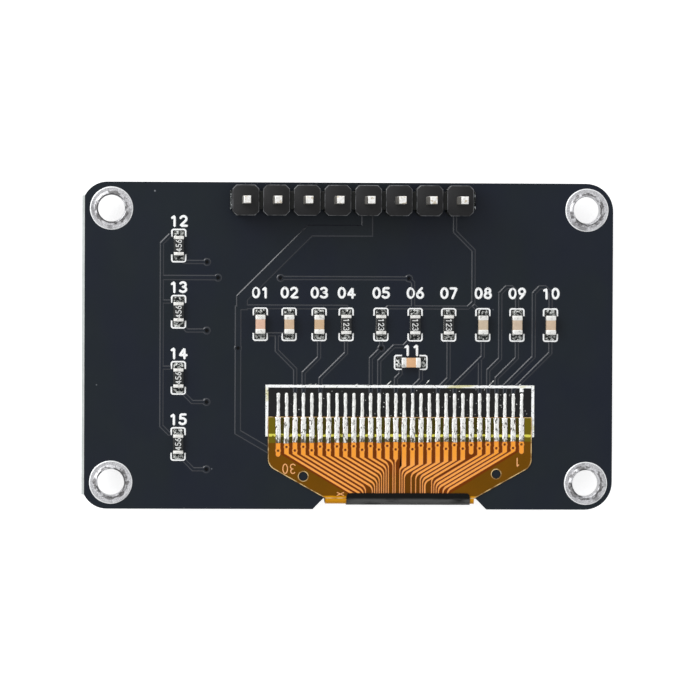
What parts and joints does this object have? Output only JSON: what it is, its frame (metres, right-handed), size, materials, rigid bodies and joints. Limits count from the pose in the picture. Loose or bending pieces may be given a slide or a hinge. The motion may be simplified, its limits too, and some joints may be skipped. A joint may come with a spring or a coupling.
{
  "type": "oled display module",
  "caption": "Small display module: a notched circuit board with a glass panel on its front, a pin header, chip parts and a flexible tail folded round the board's edge onto its back.",
  "frame": {"origin": "under the middle of the board, on the plane of the display's face, which the module lies on", "axes": "+X along the board's long side, to the right when the back is seen with the header at the top; +Y across the board towards the header; +Z out of the board's back, along the header's pins"},
  "size_m": [0.0442, 0.0272, 0.0121],
  "materials": {
    "board_laminate": "satin black solder mask over glass laminate",
    "tin_plating": "mottled tin",
    "header_pads": "plated copper pads",
    "lacquered_copper": "satin black mask over raised copper",
    "chip_lands": "tinned lands",
    "tail_lands": "tinned lands",
    "white_print": "white ink",
    "header_plastic": "satin black moulding",
    "header_solder": "bright solder",
    "pin_metal": "tinned brass",
    "capacitor_ceramic": "tan ceramic with tinned ends",
    "resistor_ceramic": "dark glaze on ceramic with tinned ends",
    "chip_solder": "solder",
    "tail_film": "glossy amber film",
    "tail_copper": "copper seen through amber film",
    "tail_solder": "uneven solder",
    "black_tape": "matt black tape",
    "polariser_film": "glossy dark film",
    "display_glass": "clear glass",
    "cap_glass": "smoky glass",
    "driver_silicon": "dark silicon",
    "foam_tape": "black foam"
  },
  "bodies": {
    "root": {"board": "board_laminate", "hole_platings": "tin_plating", "header_platings": "header_pads", "board_tracks": "lacquered_copper", "chip_lands": "chip_lands", "tail_lands": "tail_lands", "printed_outlines": "white_print", "header_body": "header_plastic", "header_solder": "header_solder", "header_pin_1": "pin_metal", "header_pin_2": "pin_metal", "header_pin_3": "pin_metal", "header_pin_4": "pin_metal", "header_pin_5": "pin_metal", "header_pin_6": "pin_metal", "header_pin_7": "pin_metal", "header_pin_8": "pin_metal", "capacitor_1": "capacitor_ceramic", "capacitor_2": "capacitor_ceramic", "capacitor_3": "capacitor_ceramic", "capacitor_4": "capacitor_ceramic", "capacitor_5": "capacitor_ceramic", "capacitor_6": "capacitor_ceramic", "capacitor_7": "capacitor_ceramic", "resistor_1": "resistor_ceramic", "resistor_2": "resistor_ceramic", "resistor_3": "resistor_ceramic", "resistor_4": "resistor_ceramic", "resistor_5": "resistor_ceramic", "resistor_6": "resistor_ceramic", "resistor_7": "resistor_ceramic", "resistor_8": "resistor_ceramic", "chip_solder": "chip_solder", "tail": "tail_film", "tail_tracks": "tail_copper", "tail_solder": "tail_solder", "fold_tape": "black_tape", "polariser": "polariser_film", "display_glass": "display_glass", "cap_glass": "cap_glass", "driver_chip": "driver_silicon", "foam_tape": "foam_tape"}
  },
  "joints": []
}
